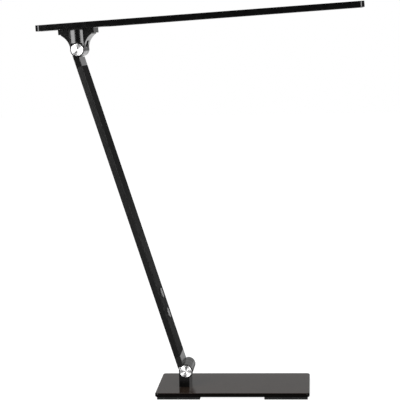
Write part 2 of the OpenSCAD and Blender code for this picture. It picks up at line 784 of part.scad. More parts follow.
base_plate();
foot_left();
foot_right();
base_bracket();
bracket_screws();
dc_inlet();
dc_inlet_pin();
base_lead();
base_bushes();
base_cap_front();
base_cap_rear();
base_hinge_pin();
base_hinge_nut();
base_friction_washers();
base_spring_washers();
arm_tube();
lower_fitting();
upper_fitting();
fitting_screws();
lower_lead();
control_board();
dome_switches();
upper_lead();
power_button();
mode_button();
head_hinge_pin();
head_hinge_nut();
head_friction_washers();
head_spring_washers();
head_bracket();
head_bushes();
head_cap_front();
head_cap_rear();
bracket_bolts();
mount_plate();
plate_screws();
head_housing();
reflector();
light_guide();
diffuser();
led_board_front();
led_board_rear();
leds();
driver_board();
driver_parts();
head_lead();
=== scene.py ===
"""Folding LED desk lamp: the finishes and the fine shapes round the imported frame.

The camera comes first, then the studio, the finishes, the shape helpers, the pieces, and which
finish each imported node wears. Shapes are worked out in millimetres, as the solids are, and a Place
carries them to metres.
"""
import json
import math

import bmesh
import bpy
import numpy as np
from mathutils import Matrix, Vector


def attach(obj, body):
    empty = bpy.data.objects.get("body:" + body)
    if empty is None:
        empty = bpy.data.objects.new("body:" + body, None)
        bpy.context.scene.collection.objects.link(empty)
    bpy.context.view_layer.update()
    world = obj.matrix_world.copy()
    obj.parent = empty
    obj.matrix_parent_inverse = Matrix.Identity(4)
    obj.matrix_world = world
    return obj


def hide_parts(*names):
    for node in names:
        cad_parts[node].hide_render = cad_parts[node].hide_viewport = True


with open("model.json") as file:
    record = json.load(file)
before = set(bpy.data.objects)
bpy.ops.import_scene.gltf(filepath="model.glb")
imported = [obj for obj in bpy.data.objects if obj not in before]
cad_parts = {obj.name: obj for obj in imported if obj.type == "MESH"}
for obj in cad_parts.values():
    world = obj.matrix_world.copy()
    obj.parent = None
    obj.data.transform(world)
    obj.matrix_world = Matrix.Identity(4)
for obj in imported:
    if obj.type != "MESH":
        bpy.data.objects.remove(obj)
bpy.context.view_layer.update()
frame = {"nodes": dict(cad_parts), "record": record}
scene = bpy.context.scene
MM = 0.001

# Camera: fitted to the edges of the lamp in the photograph
CAMERA_AT = (152.98 * MM, -1862.0 * MM, 429.16 * MM)
CAMERA_YAW = math.radians(-4.126)
CAMERA_PITCH = math.radians(-6.146)
CAMERA_ROLL = math.radians(-0.956)
CAMERA_LENS = 142.99
SENSOR = 36.0


def make_camera():
    """A camera that looks along +Y, turned by yaw about Z, then pitched, then rolled."""
    ahead = Vector((
        math.sin(CAMERA_YAW) * math.cos(CAMERA_PITCH),
        math.cos(CAMERA_YAW) * math.cos(CAMERA_PITCH),
        math.sin(CAMERA_PITCH),
    ))
    level = Vector((math.cos(CAMERA_YAW), -math.sin(CAMERA_YAW), 0.0))
    upright = level.cross(ahead)
    right = level * math.cos(CAMERA_ROLL) + upright * math.sin(CAMERA_ROLL)
    up = upright * math.cos(CAMERA_ROLL) - level * math.sin(CAMERA_ROLL)
    data = bpy.data.cameras.new("camera")
    data.lens = CAMERA_LENS
    data.sensor_width = SENSOR
    data.clip_end = 50.0
    camera = bpy.data.objects.new("camera", data)
    turn = Matrix((right, up, -ahead)).transposed().to_4x4()
    camera.matrix_world = Matrix.Translation(CAMERA_AT) @ turn
    scene.collection.objects.link(camera)
    scene.camera = camera


make_camera()
scene.view_settings.view_transform = "Standard"


# Shader helpers
def grey(value):
    """A grey as a colour."""
    return (value, value, value)


def new_material(name):
    """An empty node material: returns the material, its node tree and its output node."""
    material = bpy.data.materials.new(name)
    material.use_nodes = True
    tree = material.node_tree
    tree.nodes.clear()
    return material, tree, tree.nodes.new("ShaderNodeOutputMaterial")


def ramp(tree, value, stops):
    """A colour ramp fed by a value, with (position, grey or colour) stops."""
    node = tree.nodes.new("ShaderNodeValToRGB")
    elements = node.color_ramp.elements
    while len(elements) < len(stops):
        elements.new(0.5)
    for element, (position, colour) in zip(elements, stops):
        element.position = position
        if isinstance(colour, (int, float)):
            colour = grey(colour)
        element.color = (*colour, 1.0)
    tree.links.new(value, node.inputs["Fac"])
    return node.outputs["Color"]


def map_range(tree, value, low, high, to_low=0.0, to_high=1.0):
    """A value remapped linearly and clamped."""
    node = tree.nodes.new("ShaderNodeMapRange")
    numbers = {"From Min": low, "From Max": high, "To Min": to_low, "To Max": to_high}
    for label, number in numbers.items():
        node.inputs[label].default_value = number
    tree.links.new(value, node.inputs["Value"])
    return node.outputs["Result"]


def worked_out(tree, operation, first, second):
    """The sum, product or greater of two values."""
    node = tree.nodes.new("ShaderNodeMath")
    node.operation = operation
    tree.links.new(first, node.inputs[0])
    tree.links.new(second, node.inputs[1])
    return node.outputs["Value"]


def parts_of(tree, vector):
    """A vector's X, Y and Z, by name."""
    node = tree.nodes.new("ShaderNodeSeparateXYZ")
    tree.links.new(vector, node.inputs["Vector"])
    return node.outputs


def mixed(tree, share, first, second):
    """A share of the second shader over the first."""
    node = tree.nodes.new("ShaderNodeMixShader")
    tree.links.new(share, node.inputs["Fac"])
    tree.links.new(first, node.inputs[1])
    tree.links.new(second, node.inputs[2])
    return node.outputs["Shader"]


def object_coords(tree):
    """The piece's own coordinates, in metres."""
    return tree.nodes.new("ShaderNodeTexCoord").outputs["Object"]


def noise(tree, vector, scale, detail=3.0, roughness=0.5):
    """Noise texture's value on a vector."""
    node = tree.nodes.new("ShaderNodeTexNoise")
    node.inputs["Scale"].default_value = scale
    node.inputs["Detail"].default_value = detail
    node.inputs["Roughness"].default_value = roughness
    tree.links.new(vector, node.inputs["Vector"])
    return node.outputs["Fac"]


def bump(tree, height, distance):
    """The normal of a surface raised by a height between 0 and 1, times a distance in metres."""
    node = tree.nodes.new("ShaderNodeBump")
    node.inputs["Strength"].default_value = 1.0
    node.inputs["Distance"].default_value = distance
    tree.links.new(height, node.inputs["Height"])
    return node.outputs["Normal"]


def principled(name, **sockets):
    """A material of one Principled shader with constant sockets: material, tree and shader."""
    material, tree, output = new_material(name)
    shader = tree.nodes.new("ShaderNodeBsdfPrincipled")
    for socket, value in sockets.items():
        label = socket.replace("_", " ")
        if isinstance(value, tuple):
            value = (*value, 1.0)
        shader.inputs[label].default_value = value
    tree.links.new(shader.outputs["BSDF"], output.inputs["Surface"])
    return material, tree, shader


# Studio. The lamp mirrors the world's greys, given as (share of the way from straight behind the
# camera to straight ahead of it, grey). They are dimmer at the horizon than above it, by height.
WORLD_GREYS = ((0.0, 0.012), (0.42, 0.012), (0.62, 0.42), (1.0, 0.42))
HORIZON_SHARE = 0.6
HORIZON_TO_HIGH = (0.03, 0.055)
# The floor: half its side and distances in metres, its own grey, the white it adds for the camera,
# which grows to 1 from near to far, and its glow in glossy faces, as (share of the reach, glow).
FLOOR_HALF = 6.0
FLOOR_GREY = 0.2
WHITE_NEAR = 0.93
NEAR_TO_FAR = (0.6, 1.6)
MIRRORED_REACH = 3.0
MIRRORED = ((0.04, 0.0), (0.16, 0.55), (0.4, 0.55), (0.9, 0.85))
# Lamps: degrees round Z from the camera side, height and distance in metres, size, watts
LAMPS = {
    "lamp_top": (-50.7, 1.7, 1.42, (2.0, 1.0), 30.0),
    "lamp_left": (-34.8, 0.65, 2.07, (1.05, 1.4), 46.0),
    "lamp_right": (33.1, 0.65, 1.93, (0.9, 1.3), 33.0),
}
LAMP_AIM = (0.0, 0.0, 0.25)


def make_world():
    """White to the camera. Reflections and light see a grey backdrop and a dark camera side."""
    world = bpy.data.worlds.new("studio")
    scene.world = world
    world.use_nodes = True
    tree = world.node_tree
    tree.nodes.clear()
    output = tree.nodes.new("ShaderNodeOutputWorld")
    seen = tree.nodes.new("ShaderNodeBackground")
    lit = tree.nodes.new("ShaderNodeBackground")
    seen.inputs["Color"].default_value = (1.0, 1.0, 1.0, 1.0)
    direction = parts_of(tree, tree.nodes.new("ShaderNodeTexCoord").outputs["Generated"])
    tree.links.new(ramp(tree, map_range(tree, direction["Y"], -1.0, 1.0), WORLD_GREYS),
        lit.inputs["Color"])
    tree.links.new(map_range(tree, direction["Z"], *HORIZON_TO_HIGH, HORIZON_SHARE),
        lit.inputs["Strength"])
    path = tree.nodes.new("ShaderNodeLightPath")
    tree.links.new(mixed(tree, path.outputs["Is Camera Ray"], lit.outputs["Background"],
        seen.outputs["Background"]), output.inputs["Surface"])


def make_floor():
    """A pale floor that shows white to the camera, with the lamp's shadow left in it. Glossy
    faces see it glow behind the lamp, and from below it is clear."""
    half = FLOOR_HALF
    mesh = bpy.data.meshes.new("floor")
    mesh.from_pydata([(-half, -half, 0), (half, -half, 0), (half, half, 0), (-half, half, 0)], [],
        [(0, 1, 2, 3)])
    floor = bpy.data.objects.new("floor", mesh)
    scene.collection.objects.link(floor)
    material, tree, output = new_material("pale_floor")
    matt = tree.nodes.new("ShaderNodeBsdfDiffuse")
    matt.inputs["Color"].default_value = (*grey(FLOOR_GREY), 1.0)
    glow = tree.nodes.new("ShaderNodeEmission")
    coords = object_coords(tree)
    away = tree.nodes.new("ShaderNodeVectorMath")
    away.operation = "LENGTH"
    tree.links.new(coords, away.inputs[0])
    path = tree.nodes.new("ShaderNodeLightPath")
    white = map_range(tree, away.outputs["Value"], *NEAR_TO_FAR, WHITE_NEAR)
    behind = ramp(tree, map_range(tree, parts_of(tree, coords)["Y"], 0.0, MIRRORED_REACH),
        MIRRORED)
    mirrored = worked_out(tree, "MAXIMUM", path.outputs["Is Glossy Ray"],
        path.outputs["Is Transmission Ray"])
    shown = worked_out(tree, "ADD",
        worked_out(tree, "MULTIPLY", path.outputs["Is Camera Ray"], white),
        worked_out(tree, "MULTIPLY", mirrored, behind))
    tree.links.new(shown, glow.inputs["Strength"])
    both = tree.nodes.new("ShaderNodeAddShader")
    tree.links.new(matt.outputs["BSDF"], both.inputs[0])
    tree.links.new(glow.outputs["Emission"], both.inputs[1])
    from_below = tree.nodes.new("ShaderNodeNewGeometry").outputs["Backfacing"]
    clear = tree.nodes.new("ShaderNodeBsdfTransparent").outputs["BSDF"]
    tree.links.new(mixed(tree, from_below, both.outputs["Shader"], clear),
        output.inputs["Surface"])
    mesh.materials.append(material)


def softbox(name, azimuth, height, distance, size, power):
    """A rectangular area lamp that the camera doesn't see."""
    data = bpy.data.lights.new(name, "AREA")
    data.shape = "RECTANGLE"
    data.size, data.size_y = size
    data.energy = power
    lamp = bpy.data.objects.new(name, data)
    around = math.radians(azimuth)
    at = Vector((distance * math.sin(around), -distance * math.cos(around), height))
    lamp.location = at
    lamp.rotation_euler = (Vector(LAMP_AIM) - at).to_track_quat("-Z", "Y").to_euler()
    lamp.visible_camera = False
    scene.collection.objects.link(lamp)


make_world()
make_floor()
for lamp_name, lamp_numbers in LAMPS.items():
    softbox(lamp_name, *lamp_numbers)


# Finishes. Scales are a noise's features per metre, and spans are the part of its range in use.
PATCH_SCALE = 38.0
PATCH_SPAN = (0.32, 0.68)
SMEAR_SCALE = 140.0
SMEAR_SPAN = (0.3, 0.7)
MARK_SCALE = 900.0
STAIN_SCALE = 150.0
STAIN_SPAN = (0.35, 0.65)
TURNED_ROUGH = (0.5, 0.54)
TURNED_GREY = (0.9, 0.98)
# Where two finishes change on one piece, and where painted shade or light is put on part of one:
# millimetres and degrees, edges as from and to
AXIS_Z = 26.9
ARM_LEAN = 17.5
ARM_FRONT = -0.4
ARM_GLOSS = 0.24
FILM_GLOSS = 0.002
# Painted light: how many times lighter the arm's front face is painted
FRONT_PAINTED_LIGHTER = 4.0
FILM_EDGE = (0.4, 0.1)
PLATE_TOP = 8.0
# Painted shade on the plate's sides: the band where it starts below the top, and the share of colour
# left
SIDE_SHADE_EDGE = (0.5, 0.1)
SIDE_SHADE_SHARE = 0.05


def worked(name, colour, roughness, mottle, uneven, grain, depth, local=None, **sockets):
    """A finish with mottled colour, uneven roughness and a fine grain.

    mottle and uneven are shares of the colour and the roughness, grain is the noise's scale per
    metre, and depth is the grain's height in millimetres. local changes it over part of a piece.
    """
    material, tree, shader = principled(name, **sockets)
    coords = object_coords(tree)
    patches = noise(tree, coords, PATCH_SCALE, detail=4.0)
    dark = tuple(c * (1 - mottle) for c in colour)
    light = tuple(min(c * (1 + mottle), 1.0) for c in colour)
    tree.links.new(ramp(tree, patches, list(zip(PATCH_SPAN, (dark, light)))),
        shader.inputs["Base Color"])
    smears = noise(tree, coords, SMEAR_SCALE, detail=5.0, roughness=0.6)
    tree.links.new(
        map_range(tree, smears, *SMEAR_SPAN, roughness * (1 - uneven), roughness * (1 + uneven)),
        shader.inputs["Roughness"])
    skin = noise(tree, coords, grain, detail=2.0)
    tree.links.new(bump(tree, skin, depth * MM), shader.inputs["Normal"])
    if local is not None:
        local(tree, coords, shader)
    return material


def shaded(tree, shader, share):
    """Multiplies a shader's colour by a value."""
    colour = shader.inputs["Base Color"]
    scaled = tree.nodes.new("ShaderNodeVectorMath")
    scaled.operation = "SCALE"
    tree.links.new(colour.links[0].from_socket, scaled.inputs[0])
    tree.links.new(share, scaled.inputs["Scale"])
    tree.links.new(scaled.outputs["Vector"], colour)


def painted_shade_on_sides(tree, coords, shader):
    """Painted shade: below the plate's top face, its sides and lower edge are painted black,
    standing in for the shade they are in.
    """
    start, end = ((PLATE_TOP - below) * MM for below in SIDE_SHADE_EDGE)
    # Painted shade: the colour is scaled down below the top face
    shaded(tree, shader, map_range(tree, parts_of(tree, coords)["Z"], start, end, SIDE_SHADE_SHARE))


def matt_film_and_painted_light_on_front(tree, coords, shader):
    """The arm's front face, found by the arm's own x, wears a matt film that is less glossy, and it
    is painted less black as painted light.
    """
    across = tree.nodes.new("ShaderNodeVectorMath")
    across.operation = "DOT_PRODUCT"
    lean = math.radians(ARM_LEAN)
    across.inputs[1].default_value = (math.cos(lean), 0.0, math.sin(lean))
    tree.links.new(coords, across.inputs[0])
    front = AXIS_Z * math.sin(lean) + ARM_FRONT
    edge = [across.outputs["Value"]] + [(front - inside) * MM for inside in FILM_EDGE]
    tree.links.new(map_range(tree, *edge, ARM_GLOSS, FILM_GLOSS),
        shader.inputs["Specular IOR Level"])
    # Painted light: the front face's colour is made lighter than the arm's other faces
    shaded(tree, shader, map_range(tree, *edge, 1.0, FRONT_PAINTED_LIGHTER))


def turned_finish(name):
    """Bright aluminium turned on a lathe: its tool marks run round the piece's middle."""
    material, tree, shader = principled(name, Metallic=1.0, Anisotropic=1.0,
        Anisotropic_Rotation=0.25)
    tangent = tree.nodes.new("ShaderNodeTangent")
    tangent.direction_type = "RADIAL"
    tangent.axis = "Y"
    tree.links.new(tangent.outputs["Tangent"], shader.inputs["Tangent"])
    coords = object_coords(tree)
    marks = noise(tree, coords, MARK_SCALE)
    tree.links.new(map_range(tree, marks, *SMEAR_SPAN, *TURNED_ROUGH), shader.inputs["Roughness"])
    stain = noise(tree, coords, STAIN_SCALE)
    tree.links.new(ramp(tree, stain, list(zip(STAIN_SPAN, TURNED_GREY))),
        shader.inputs["Base Color"])
    return material


# Each finish: colour, roughness, mottle, uneven, grain and depth, then what is special to it
FINISH = {
    "grey_plate": worked("grey_plate", (0.019, 0.0125, 0.009), 0.16, 0.1, 0.2, 900.0, 0.0005,
        painted_shade_on_sides, Specular_IOR_Level=0.16),
    "black_rubber": worked("black_rubber", grey(0.008), 0.75, 0.3, 0.15, 1800.0, 0.06,
        Specular_IOR_Level=0.2),
    "black_metal": worked("black_metal", grey(0.001), 0.18, 0.2, 0.1, 1400.0, 0.0004),
    "arm_black": worked("arm_black", grey(0.0012), 0.34, 0.2, 0.1, 5200.0, 0.003, matt_film_and_painted_light_on_front),
    "fitting_grey": worked("fitting_grey", grey(0.006), 0.1, 0.15, 0.2, 2600.0, 0.001),
    "housing_black": worked("housing_black", grey(0.0015), 0.15, 0.2, 0.2, 1400.0, 0.0004,
        Specular_IOR_Level=0.4),
    "turned_aluminium": turned_finish("turned_aluminium"),
    "steel": worked("steel", grey(0.55), 0.3, 0.1, 0.3, 3000.0, 0.006, Metallic=1.0),
    "bronze": worked("bronze", (0.55, 0.34, 0.15), 0.35, 0.12, 0.2, 3000.0, 0.008, Metallic=1.0),
    "contact_metal": worked("contact_metal", (0.75, 0.72, 0.65), 0.22, 0.06, 0.2, 3000.0, 0.004,
        Metallic=1.0),
    "inlet_plastic": worked("inlet_plastic", grey(0.015), 0.5, 0.2, 0.15, 2600.0, 0.02),
    "cable_jacket": worked("cable_jacket", grey(0.03), 0.55, 0.2, 0.15, 2600.0, 0.02),
    "board_green": worked("board_green", (0.01, 0.09, 0.04), 0.35, 0.15, 0.2, 1500.0, 0.01),
    "component_dark": worked("component_dark", grey(0.03), 0.5, 0.25, 0.2, 2600.0, 0.02),
    "button_grey": worked("button_grey", grey(0.12), 0.22, 0.1, 0.15, 2600.0, 0.002),
    "reflector_white": worked("reflector_white", grey(0.85), 0.4, 0.02, 0.1, 2600.0, 0.004),
    "board_white": worked("board_white", grey(0.75), 0.4, 0.04, 0.15, 2600.0, 0.01),
    "led_yellow": worked("led_yellow", (0.85, 0.7, 0.25), 0.3, 0.05, 0.15, 2600.0, 0.01),
    "clear_acrylic": worked("clear_acrylic", grey(0.95), 0.05, 0.01, 0.3, 900.0, 0.001,
        Transmission_Weight=0.9, IOR=1.49),
    "milky_diffuser": worked("milky_diffuser", grey(0.82), 0.38, 0.02, 0.15, 2600.0, 0.006,
        Subsurface_Weight=0.3),
}

# Sizes that more than one group needs, in millimetres and degrees. SINK is how far a countersink
# starts outside its face, and OVERLAP how far joined shapes reach into each other.
SINK = 0.5
OVERLAP = 0.3
BARREL_R = 8.25
BARREL_EDGE = 0.4
EAR_IN = 7.5
EAR_OUT = 22.5
KNUCKLE = 7.2
KNUCKLE_EDGE = 0.6
CAP_R = 7.0
CAP_HOLE_R = 7.05
CAP_IN = 20.9
CAP_OUT = 22.9
SPRING_IN = 14.5
BUSH_HOLE_R = 4.52
PIN_HOLE_R = 3.52
ARM_LEN = 399.0
HEAD_TILT = 3.3


class Place:
    """A turn about Y and a shift that carry millimetres in a group's own frame to metres.

    x = x cos(tilt) - z sin(tilt), z = x sin(tilt) + z cos(tilt), after z = mirror - z if mirrored.
    """

    def __init__(self, tilt=0.0, shift=(0.0, 0.0, 0.0), mirror=None):
        angle = math.radians(tilt)
        self.turn = np.array([
            [math.cos(angle), 0.0, -math.sin(angle)],
            [0.0, 1.0, 0.0],
            [math.sin(angle), 0.0, math.cos(angle)],
        ])
        self.shift = np.array(shift)
        self.mirror = mirror

    def __call__(self, points):
        if self.mirror is not None:
            points = points * (1.0, 1.0, -1.0) + (0.0, 0.0, self.mirror)
        return (points @ self.turn.T + self.shift) * MM


HEAD_AXIS = (
    -ARM_LEN * math.sin(math.radians(ARM_LEAN)), 0.0,
    AXIS_Z + ARM_LEN * math.cos(math.radians(ARM_LEAN)),
)
IN_BASE = Place()
AT_AXIS = Place(shift=(0.0, 0.0, AXIS_Z))
IN_ARM = Place(ARM_LEAN, (0.0, 0.0, AXIS_Z))
AT_ARM_TOP = Place(ARM_LEAN, (0.0, 0.0, AXIS_Z), ARM_LEN)
IN_HEAD = Place(HEAD_TILT, HEAD_AXIS)


# Shape helpers: a skin is an array of points and a list of faces
TURNED_STEPS = 96
ROD_STEPS = 48
LEAST_CORNER = 0.15
MITRE_LIMIT = 0.5
def lofted(rings, closed=False):
    """A skin over rings of equally many points: point (row, i) joins (row, i + 1) and
    (row + 1, i), round the ring and, if closed, from the last row to the first; otherwise a
    flat face shuts each end."""
    rings = np.asarray(rings, float)
    rows, count = rings.shape[:2]
    row = np.arange(rows if closed else rows - 1)[:, None] * count
    ahead = (row + count) % (rows * count)
    i = np.arange(count)[None, :]
    j = (i + 1) % count
    faces = np.stack([row + i, row + j, ahead + j, ahead + i], -1).reshape(-1, 4).tolist()
    if not closed:
        faces += [list(range(count))[::-1], list(range((rows - 1) * count, rows * count))]
    return rings.reshape(-1, 3), faces


def edge_steps(start, end, first, last, segments=5):
    """(inset, place) steps from one end face to the other; each end's edge is a quarter round
    of its own radius: inset = r (1 - sin a), place = end + r (1 - cos a)."""
    turn = np.linspace(0.0, math.pi / 2, segments + 1)
    quarter = np.column_stack([1 - np.sin(turn), 1 - np.cos(turn)])
    lead = first * quarter if first else np.zeros((1, 2))
    tail = last * quarter if last else np.zeros((1, 2))
    return np.concatenate([lead + (0.0, start), (tail * (1.0, -1.0) + (0.0, end))[::-1]])


def round_rect(x0, y0, x1, y1, radius, segments):
    """Points round a rectangle whose corners are quarter circles."""
    quarter = np.linspace(0.0, 90.0, segments + 1)[None, :]
    turn = np.radians(np.arange(4)[:, None] * 90.0 + quarter)
    centre_x = np.array([x1 - radius, x0 + radius, x0 + radius, x1 - radius])[:, None]
    centre_y = np.array([y1 - radius, y1 - radius, y0 + radius, y0 + radius])[:, None]
    points = np.stack([centre_x + radius * np.cos(turn), centre_y + radius * np.sin(turn)], -1)
    return points.reshape(-1, 2)


def level_ring(x0, y0, x1, y1, radius, inset, z, segments=10):
    """A round-cornered rectangle at a height, pulled in by inset."""
    points = round_rect(x0 + inset, y0 + inset, x1 - inset, y1 - inset,
        max(radius - inset, LEAST_CORNER), segments)
    return np.column_stack([points, np.full(len(points), z)])


def slab(x0, y0, x1, y1, z0, z1, radius, edge0, edge1=None):
    """A slab with round corners and quarter-round edges below and above."""
    steps = edge_steps(z0, z1, edge0, edge0 if edge1 is None else edge1, segments=6)
    return lofted([level_ring(x0, y0, x1, y1, radius, inset, z) for inset, z in steps])


def turned(profile):
    """A profile of (radius, y) turned about Y: x = radius cos a, z = radius sin a."""
    radius, y = np.asarray(profile, float).T[:, :, None]
    around = np.linspace(0.0, 2 * math.pi, TURNED_STEPS, endpoint=False)[None, :]
    return lofted(np.stack(
        [radius * np.cos(around), y + 0.0 * around, radius * np.sin(around)], -1))


def bar(radius, y0, y1, edge0, edge1):
    """A round bar along Y with rounded rims."""
    rims = edge_steps(y0, y1, edge0, edge1, segments=4)
    return turned([(radius - inset, y) for inset, y in rims])


def rod(start, end, radius, radius_end=None):
    """A round rod or cone between two points."""
    start, end = np.array(start, float), np.array(end, float)
    along = (end - start) / np.linalg.norm(end - start)
    side = np.cross(along, (0.0, 1.0, 0.0) if abs(along[1]) < 0.9 else (1.0, 0.0, 0.0))
    side /= np.linalg.norm(side)
    around = np.linspace(0.0, 2 * math.pi, ROD_STEPS, endpoint=False)[:, None]
    ring = np.cos(around) * side + np.sin(around) * np.cross(along, side)
    return lofted([start + radius * ring, end + (radius_end or radius) * ring])


def box(x0, y0, z0, x1, y1, z1):
    """A plain block, for cutting with."""
    ring = np.array([(x0, y0), (x1, y0), (x1, y1), (x0, y1)])
    return lofted([np.column_stack([ring, np.full(4, z)]) for z in (z0, z1)])


def arc(centre_x, centre_z, radius, start, end, segments):
    """Points on an arc in the XZ plane, with angles in degrees from +X towards +Z."""
    angle = np.radians(np.linspace(start, end, segments + 1))
    return np.column_stack([centre_x + radius * np.cos(angle), centre_z + radius * np.sin(angle)])


def pulled_in(outline, inset):
    """A counter-clockwise outline moved inwards by inset, mitred up to a limit at its points."""
    ahead = np.roll(outline, -1, 0) - outline
    ahead /= np.linalg.norm(ahead, axis=1, keepdims=True)
    normal = np.column_stack([-ahead[:, 1], ahead[:, 0]])
    mean = normal + np.roll(normal, 1, 0)
    return outline + mean * inset * 2 / np.maximum(
        (mean ** 2).sum(1, keepdims=True), MITRE_LIMIT)


def drawn(outline, y0, y1, edge):
    """A counter-clockwise XZ outline carried along Y, its two end edges rounded."""
    rings = []
    for inset, y in edge_steps(y0, y1, edge, edge, segments=4):
        points = pulled_in(outline, inset)
        rings.append(np.column_stack([points[:, 0], np.full(len(points), y), points[:, 1]]))
    return lofted(rings)


def mesh_object(name, skin, place):
    """A skin placed and made an object, with its faces turned outwards."""
    points, faces = skin
    mesh = bpy.data.meshes.new(name)
    mesh.from_pydata(place(points).tolist(), [], faces)
    work = bmesh.new()
    work.from_mesh(mesh)
    bmesh.ops.recalc_face_normals(work, faces=work.faces)
    work.to_mesh(mesh)
    work.free()
    piece = bpy.data.objects.new(name, mesh)
    scene.collection.objects.link(piece)
    return piece


def combined(piece, steps):
    """A piece after a chain of exact booleans with other objects, which are then removed."""
    for operation, other in steps:
        step = piece.modifiers.new("step", "BOOLEAN")
        step.operation = operation
        step.solver = "EXACT"
        step.object = other
    bpy.context.view_layer.update()
    graph = bpy.context.evaluated_depsgraph_get()
    mesh = bpy.data.meshes.new_from_object(piece.evaluated_get(graph))
    piece.modifiers.clear()
    mesh.name = piece.name
    piece.data = mesh
    for _, other in steps:
        bpy.data.objects.remove(other)
    return piece


def merged(name, place, gives, takes=()):
    """One piece of the gives joined, less the takes. Each is a skin or a piece made earlier."""
    def made(skin, label="part"):
        return skin if isinstance(skin, bpy.types.Object) else mesh_object(label, skin, place)

    piece = made(gives[0], name)
    steps = [("UNION", skin) for skin in gives[1:]] + [("DIFFERENCE", skin) for skin in takes]
    return combined(piece, [(operation, made(skin)) for operation, skin in steps])


BODIES = frame["record"]["behaviour"]["bodies"]
BODY_OF = {node: body for body, nodes in BODIES.items() for node in nodes}
SLOT_OF = {node: thing.data.materials[0].name for node, thing in frame["nodes"].items()}
SHARP_FROM = 32.0


def finished(piece, node, weighted=True):
    """Smooth shading, led by the large faces if weighted, and the node's body, slot and finish."""
    mesh = piece.data
    mesh.shade_smooth()
    mesh.set_sharp_from_angle(angle=math.radians(SHARP_FROM))
    if weighted:
        even = piece.modifiers.new("even", "WEIGHTED_NORMAL")
        even.keep_sharp = True
        even.weight = 100
    mesh.materials.clear()
    mesh.materials.append(FINISH[SLOT_OF[node]])
    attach(piece, BODY_OF[node])
    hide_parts(node)


# Base
PLATE = (-34.0, -55.0, 146.0, 55.0)
PLATE_LOW = 3.2
PLATE_CORNER = 4.0
PLATE_EDGE = 1.4
POST_LEFT = -8.1
POST_RIGHT = 4.2
POST_MID = (POST_LEFT + POST_RIGHT) / 2
SADDLE_Z = 18.05
FOOT_SEAT = 0.8
SEAT_CORNER = 1.2
FOOT_CORNER = 1.0
FOOT_EDGES = (0.5, 0.1)
FOOT_HOLE_SLIP = 0.6
FOOT_X = ((-31.8, 18.6), (93.4, 143.8))
FOOT_HALF_Y = 52.8
SLIP = 0.15
SCREW_YS = (-16.0, -6.0, 4.0)
SCREW_R = 2.0
SCREW_HEAD_R = 4.0
INLET_X = -1.0
INLET_Z = 13.5
INLET_R = 4.35
INLET_IN = 11.4
# Caps: the grooves' pitch, half width, depth, and where they start inside the rim and end; and
# the dimple in the middle, as (radius, depth)
CAP_EDGES = (0.1, 0.3)
CAP_MIDDLE = 0.05
GROOVE = 0.35
GROOVE_HALF = 0.09
GROOVE_DEEP = 0.012
GROOVE_START = 0.65
GROOVE_END = 0.6
DIMPLE = ((0.45, 0.05), (CAP_MIDDLE, 0.08))


def base_plate_skin():
    """The plate as a slab with quarter-round edges, its foot recesses and countersinks cut in."""
    seat = PLATE_LOW + FOOT_SEAT
    takes = [
        slab(x0 - SLIP, -FOOT_HALF_Y - SLIP, x1 + SLIP, FOOT_HALF_Y + SLIP, PLATE_LOW - 1, seat,
            SEAT_CORNER, 0.0)
        for x0, x1 in FOOT_X
    ]
    takes += [
        rod((POST_MID, y, seat - SINK), (POST_MID, y, seat + SCREW_R), SCREW_HEAD_R + SINK,
            SCREW_R)
        for y in SCREW_YS
    ]
    x0, y0, x1, y1 = PLATE
    finished(merged("base_plate_skin", IN_BASE,
        [slab(x0, y0, x1, y1, PLATE_LOW, PLATE_TOP, PLATE_CORNER, PLATE_EDGE)], takes),
        "base_plate")


def foot_skin(node, x0, x1, screws):
    """A rubber foot: a slab with soft edges, holed under the bracket's screws."""
    radius = SCREW_HEAD_R + FOOT_HOLE_SLIP
    takes = [rod((POST_MID, y, -1), (POST_MID, y, 6), radius) for y in screws]
    foot = slab(x0, -FOOT_HALF_Y, x1, FOOT_HALF_Y, 0.0, PLATE_LOW + FOOT_SEAT, FOOT_CORNER,
        *FOOT_EDGES)
    finished(merged(node + "_skin", IN_BASE, [foot], takes), node)


def ear_takes():
    """What is cut out of a hinge's ears: the recess for nut and cap, and the bush's hole."""
    takes = []
    for side in (-1, 1):
        takes.append(turned([(CAP_HOLE_R, side * SPRING_IN), (CAP_HOLE_R, side * (EAR_OUT + 1))]))
        takes.append(turned(
            [(BUSH_HOLE_R, side * (EAR_IN - 1)), (BUSH_HOLE_R, side * (SPRING_IN + 1))]))
    return takes


def lifted(skin, z):
    """A skin moved up."""
    return skin[0] + (0.0, 0.0, z), skin[1]


def base_bracket_skin():
    """The post: one outline from foot to barrel drawn along Y, then slot, holes and inlet seat."""
    right = math.degrees(math.acos(POST_RIGHT / BARREL_R))
    left = math.degrees(math.acos(POST_LEFT / BARREL_R))
    outline = np.concatenate([
        [(POST_LEFT, PLATE_TOP), (POST_RIGHT, PLATE_TOP)],
        arc(0.0, AXIS_Z, BARREL_R, -right, 360.0 - left, segments=72),
    ])
    takes = [box(-20, -EAR_IN, SADDLE_Z, 20, EAR_IN, 60)]
    takes += [lifted(skin, AXIS_Z) for skin in ear_takes()]
    takes.append(rod((INLET_X, INLET_IN, INLET_Z), (INLET_X, EAR_OUT + 1, INLET_Z), INLET_R))
    finished(merged("base_bracket_skin", IN_BASE,
        [drawn(outline, -EAR_OUT, EAR_OUT, BARREL_EDGE)], takes), "base_bracket")


def cap_skin(node, place, side):
    """A turned cap: fine grooves on its face, a dimple in the middle, and a round rim."""
    rim = edge_steps(CAP_IN, CAP_OUT, *CAP_EDGES)
    profile = [(CAP_MIDDLE, CAP_IN)] + [(CAP_R - inset, y) for inset, y in rim]
    for r in np.arange(CAP_R - GROOVE_START, GROOVE_END, -GROOVE):
        profile += [(r + GROOVE_HALF, CAP_OUT - GROOVE_DEEP), (r - GROOVE_HALF, CAP_OUT)]
    profile += [(r, CAP_OUT - low) for r, low in DIMPLE]
    finished(mesh_object(node + "_skin", turned([(r, side * y) for r, y in profile]), place), node,
        weighted=False)


